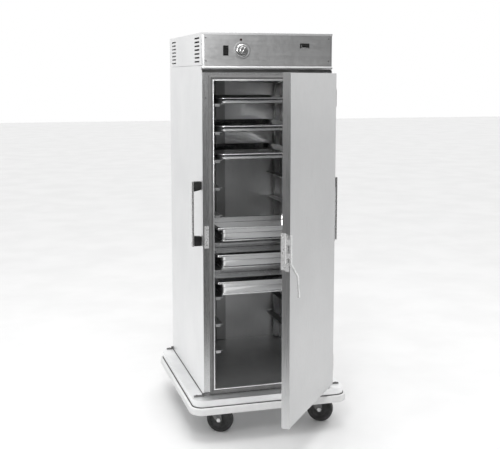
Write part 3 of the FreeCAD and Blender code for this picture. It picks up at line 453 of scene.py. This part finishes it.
def deep_pan_inside(top):
    """The same rows from the rolled edge of the flange down to the pan's floor."""
    rim = [(DEEP_PAN_RIM + across, DEEP_PAN_RIM + across, 12, top - DEEP_PAN_RIM + up)
           for across, up in arc_points(0, 0, DEEP_PAN_RIM, 180, 90, 4)]
    mouth = [(19.0, 9.0, 26, top - 0.2), (21.6, 11.0, 24.4, top - 1.6), (22.5, 11.8, 23.6, top - 4.5)]
    shoulder = [(22.6, 12.0, 23.4, 43.6), (23.4, 12.8, 23, 42.6),
                (25.4, 14.6, 21.8, 41.8), (26.2, 15.4, 21, 40.4)]
    floor = [(27.2, 17.2, 19, 16.0), (28.6, 19.0, 17.6, 12.8), (33.0, 24.0, 13, 11.5)]
    return rim + mouth + shoulder + floor


def make_deep_pan(name):
    """Deep pan: recessed foot, rounded lower edge, stacking shoulder, flange turned down at its rim."""
    low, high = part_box(name)
    top = (high.z - low.z) / MM
    rings = []
    for row in deep_pan_outside(top) + deep_pan_inside(top):
        side, end, radius, height = (value * MM for value in row)
        rings.append(rounded_ring(low.x + side, high.x - side, low.y + end, high.y - end,
                                  radius, low.z + height))
    verts, faces = loft(rings)
    link_mesh(name + "_look", verts, faces, MATERIALS["pan_aluminium"], name, [name])


for pan in DEEP_PANS:
    make_deep_pan(pan)


# ------------------------------------------------------------------ doorway lip
def make_doorway_lip():
    """Rolled bead of the liner round the doorway, just proud of its flat lip; its roll catches highlights, and its
    lighter copy of the liner steel is painted highlight.
    """
    low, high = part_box("breaker_strip")
    inset = 20.1 * MM
    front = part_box("liner")[0].y
    rings = []
    for step in range(8):
        angle = math.radians(180 * step / 7)
        i = inset + 2.2 * MM - 2.0 * MM * math.cos(angle)
        y = front + 0.3 * MM - 1.6 * MM * math.sin(angle)
        x0, x1, z0, z1 = low.x + i, high.x - i, low.z + i, high.z - i
        rings.append([(x0, y, z0), (x1, y, z0), (x1, y, z1), (x0, y, z1)])
    verts, faces = loft(rings, cap=False)
    link_mesh("doorway_bead", verts, faces, MATERIALS["lip_steel_painted_highlight"], "cabinet")


# ------------------------------------------------------------------ knob and dial
def make_knob():
    """Chrome skirt, fluted satin grip and a chrome pointer bar at about one o'clock."""
    centre = Vector(joint_of("knob")["pos_m"])
    skirt = [(19.6, 1.0), (27.2, 1.0), (28.0, 1.6), (28.0, 3.6), (27.0, 4.8), (24.0, 6.2), (21.4, 6.6),
             (20.0, 6.0), (19.6, 4.6)]
    verts, faces = lathe([(r * MM, a * MM) for r, a in skirt], centre, (0, -1, 0), 72)
    link_mesh("knob_skirt_look", verts, faces, MATERIALS["knob_chrome"], "knob", ["knob"])
    rings = []
    count = 96
    grip = ((19.2, 2.0), (19.0, 6.0), (18.2, 17.5), (17.4, 19.6), (15.6, 20.8), (8.0, 20.6), (0.3, 20.4))
    for radius, height in grip:
        ring = []
        for step in range(count):
            angle = 2 * math.pi * step / count
            r = (radius - 0.55 * (math.cos(16 * angle) ** 6) * (radius > 16)) * MM
            ring.append(tuple(centre + Vector((r * math.cos(angle), -height * MM, r * math.sin(angle)))))
        rings.append(ring)
    verts, faces = loft(rings)
    link_mesh("knob_grip_look", verts, faces, MATERIALS["knob_grip"], "knob")
    make_pointer(centre)


def make_pointer(centre):
    """Arrow-shaped bar on the knob's face."""
    outline = [(-1.9, -15.5), (1.9, -15.5), (2.4, 14.0), (0.0, 19.0), (-2.4, 14.0)]
    turn = math.radians(KNOB_TURN)
    rings = []
    for height, shrink in ((19.5, 1.0), (22.6, 1.0), (23.6, 0.75)):
        ring = []
        for across, up in outline:
            across, up = across * shrink * MM, up * shrink * MM
            x = across * math.cos(turn) + up * math.sin(turn)
            z = -across * math.sin(turn) + up * math.cos(turn)
            ring.append((centre.x + x, centre.y - height * MM, centre.z + z))
        rings.append(ring)
    verts, faces = loft(rings)
    link_mesh("knob_pointer_look", verts, faces, MATERIALS["knob_chrome"], "knob")


def make_dial():
    """Thin printed dial ring round the knob."""
    centre = Vector(joint_of("knob")["pos_m"])
    ring = [(28.5, -0.1), (38.0, -0.1), (38.4, 0.15), (38.0, 0.35), (28.9, 0.35), (28.5, 0.15)]
    verts, faces = lathe([(r * MM, a * MM) for r, a in ring], centre, (0, -1, 0), 72)
    link_mesh("dial_ring", verts, faces, MATERIALS["dial_print"], "cabinet")


def make_display_edge():
    """Pale printed strip under the thermometer's window, and the dark window itself."""
    low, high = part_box("thermometer")
    x0, x1 = low.x + 5 * MM, high.x - 5 * MM
    plate_box("display_strip", x0, x1, low.y - 0.25 * MM, low.y + 0.2 * MM,
              low.z + 0.8 * MM, low.z + 2.2 * MM, 0.5 * MM, MATERIALS["pale_print"])
    plate_box("display_window", x0 + 0.4 * MM, x1 - 0.4 * MM, low.y + 1.0 * MM, low.y + 1.5 * MM,
              low.z + 5.2 * MM, high.z - 5.2 * MM, 0.5 * MM, MATERIALS["window_dark"])


def plate_box(name, x0, x1, y0, y1, z0, z1, corner, material):
    """Thin upright plate facing -Y with round corners and an eased front edge."""
    rings = []
    for y, shrink in ((y1, 0.0), (y0 + 0.15 * MM, 0.0), (y0, 0.12 * MM)):
        flat = rounded_ring(x0 + shrink, x1 - shrink, z0 + shrink, z1 - shrink, corner, 0.0, 4)
        rings.append([(x, y, z) for x, z, _ in flat])
    verts, faces = loft(rings)
    link_mesh(name, verts, faces, material, "cabinet")


make_knob()
make_dial()
make_display_edge()
make_doorway_lip()


# ------------------------------------------------------------------ bumper and seams
def make_bumper():
    """Bumper with round edges and a crevice beside the deck, and a dark bead of painted shade in that crevice."""
    low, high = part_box("bumper")
    thick, edge = BUMPER_T, BUMPER_EDGE
    top, bottom = high.z, low.z
    outline = [(thick, bottom)]
    outline += arc_points(edge, bottom + edge, edge, 270, 180, 6)
    outline += [(0.5 * MM, (top + bottom) / 2)]
    outline += arc_points(edge, top - edge, edge, 180, 90, 6)
    outline += [(thick - 4.2 * MM, top), (thick - 3 * MM, top - 1.2 * MM), (thick - 3 * MM, top - 4 * MM),
                (thick, top - 4 * MM)]
    rings = [rounded_ring(low.x + i, high.x - i, low.y + i, high.y - i, BUMPER_CORNER - i, z, 16)
             for i, z in outline]
    verts, faces = loft(rings, closed=True)
    link_mesh("bumper_look", verts, faces, MATERIALS["bumper_grey"], "cabinet", ["bumper"])
    ring_bead("bumper_painted_shade", low, high, thick - 1.4 * MM, top + 0.6 * MM, 2.4 * MM, BUMPER_CORNER)


def ring_bead(name, low, high, inset, height, radius, corner):
    """Round dark bead laid level round a box with round corners; used as painted shade in joints."""
    rings = []
    for across, up in arc_points(0, 0, radius, 0, 315, 7):
        i = inset + across
        rings.append(rounded_ring(low.x + i, high.x - i, low.y + i, high.y - i, corner - i, height + up, 16))
    verts, faces = loft(rings, closed=True)
    link_mesh(name, verts, faces, MATERIALS["painted_shade_dark"], "cabinet")


def make_foot_painted_shade():
    """Dark bead of painted shade along the joint where the body stands on the deck."""
    low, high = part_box("body_wrapper")
    ring_bead("foot_painted_shade", low, high, -0.6 * MM, low.z + 1.6 * MM, 2.0 * MM, 0.4 * MM)


def make_head_painted_shade():
    """Dark strip of painted shade in the gap between the frame's top rail and the head."""
    low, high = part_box("front_frame")
    rail_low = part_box("control_panel")[0].z
    plate_box("head_painted_shade", low.x + 2 * MM, high.x - 2 * MM, low.y + 5 * MM, low.y + 7 * MM,
              rail_low - HEAD_GAP + 0.6 * MM, rail_low - 0.6 * MM, 0.5 * MM,
              MATERIALS["painted_shade_dark"])


make_foot_painted_shade()
make_head_painted_shade()
make_bumper()


# ------------------------------------------------------------------ wheels
def make_wheel(corner):
    """Solid tyre with round shoulders and a dished core with a hub on each side."""
    joint = joint_of("wheel_" + corner)
    centre, axis = Vector(joint["pos_m"]), Vector(joint["axis"])
    low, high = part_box("caster_wheel_" + corner)
    radius = (high.z - low.z) / 2
    half = WHEEL_HALF_W
    tread = [(46 * MM, -half + 4 * MM), (49 * MM, -half)]
    tread += arc_profile(radius, half, WHEEL_SHOULDER)
    tread += [(49 * MM, half), (46 * MM, half - 4 * MM)]
    verts, faces = lathe(tread, centre, axis, 72)
    link_mesh("tyre_" + corner, verts, faces, MATERIALS["wheel_tread"], "wheel_" + corner,
              ["caster_wheel_" + corner])
    hub = half + 2.4 * MM
    near_side = [(WHEEL_BORE_R, -hub), (13 * MM, -hub), (15 * MM, -hub + 2 * MM), (17 * MM, -half + 6 * MM),
                 (40 * MM, -half + 7 * MM), (43 * MM, -half + 3 * MM), (46.4 * MM, -half + 3.4 * MM)]
    core = near_side + [(r, -along) for r, along in reversed(near_side)]
    verts, faces = lathe(core, centre, axis, 72)
    link_mesh("wheel_core_" + corner, verts, faces, MATERIALS["wheel_tread"], "wheel_" + corner)


def arc_profile(radius, half, edge):
    """Crown of a tread: a flat middle between two round shoulders, from one face to the other."""
    shoulder = arc_points(radius - edge, edge - half, edge, -90, -10, 4)
    flat = [(radius, edge - half), (radius, half - edge)]
    return shoulder + flat + [(r, -along) for r, along in reversed(shoulder)]


for corner in CASTER_NAMES:
    make_wheel(corner)


# ------------------------------------------------------------------ stage, light, camera
def make_stage():
    """Plain pale floor: one flat sheet that ends in front of the cabinet."""
    mesh = bpy.data.meshes.new("floor")
    size, front = FLOOR_SIZE, FLOOR_FRONT_EDGE
    mesh.from_pydata([(-size, front, 0), (size, front, 0), (size, size, 0), (-size, size, 0)],
                     [], [(0, 1, 2, 3)])
    floor = bpy.data.objects.new("floor", mesh)
    bpy.context.scene.collection.objects.link(floor)
    mat, tree, shader = new_tree("floor")
    cloud = noise(tree, coords(tree, (1, 1, 1)), 2.0, 4.0)
    colour = mix_colour(tree, remap(tree, cloud, 0.3, 0.7, 0.0, 1.0), (0.80, 0.80, 0.80), (0.84, 0.84, 0.84))
    tree.links.new(colour, shader.inputs["Base Color"])
    shader.inputs["Roughness"].default_value = 0.7
    dress(floor, mat)


def area_light(name, place, target, size, power):
    """Soft rectangular lamp that faces its target."""
    data = bpy.data.lights.new(name, "AREA")
    data.shape = "RECTANGLE"
    data.size, data.size_y = size
    data.energy = power
    lamp = bpy.data.objects.new(name, data)
    bpy.context.scene.collection.objects.link(lamp)
    lamp.location = place
    lamp.rotation_mode = "QUATERNION"
    lamp.rotation_quaternion = (Vector(target) - Vector(place)).to_track_quat("-Z", "Y")


def make_world():
    """Soft studio surround: bright behind the cabinet and overhead, dark low down on the front side."""
    world = bpy.data.worlds.new("studio")
    world.use_nodes = True
    tree = world.node_tree
    tree.nodes.clear()
    out = tree.nodes.new("ShaderNodeOutputWorld")
    back = tree.nodes.new("ShaderNodeBackground")
    source = tree.nodes.new("ShaderNodeTexCoord")
    split = tree.nodes.new("ShaderNodeSeparateXYZ")
    tree.links.new(source.outputs["Generated"], split.inputs[0])
    rear = remap(tree, split.outputs["Y"], -0.30, 0.20, 0.0, 0.80)
    above = remap(tree, split.outputs["Z"], 0.25, 0.80, 0.0, 1.0)
    front = remap(tree, split.outputs["Z"], -0.02, 0.12, 0.10, 0.30)
    level = math_node(tree, "MAXIMUM", math_node(tree, "MAXIMUM", rear, above), front)
    colour = mix_colour(tree, level, (0.0, 0.0, 0.0), (1.0, 1.0, 1.0))
    tree.links.new(colour, back.inputs["Color"])
    back.inputs["Strength"].default_value = 1.25
    tree.links.new(back.outputs[0], out.inputs[0])
    bpy.context.scene.world = world


def make_camera():
    """Camera in front of the cabinet's left side, looking a little down on it."""
    data = bpy.data.cameras.new("camera")
    data.lens = 65.03
    data.sensor_width = 36.0
    data.shift_y = -0.06
    camera = bpy.data.objects.new("camera", data)
    bpy.context.scene.collection.objects.link(camera)
    yaw, pitch = math.radians(15.68), math.radians(-7.41)
    forward = Vector((math.sin(yaw) * math.cos(pitch), math.cos(yaw) * math.cos(pitch), math.sin(pitch)))
    camera.location = (-1.1806, -4.2792, 1.6641)
    camera.rotation_mode = "QUATERNION"
    camera.rotation_quaternion = forward.to_track_quat("-Z", "Y")
    bpy.context.scene.camera = camera


make_stage()
area_light("top", (-0.6, -1.6, 4.2), (0, -0.3, 0.8), (2.4, 1.6), 60)
area_light("cavity", (-0.85, -2.5, 2.05), (-0.05, 0.2, 1.6), (0.4, 0.7), 20)
make_world()
make_camera()
bpy.context.scene.view_settings.view_transform = "Standard"

bpy.context.view_layer.update()
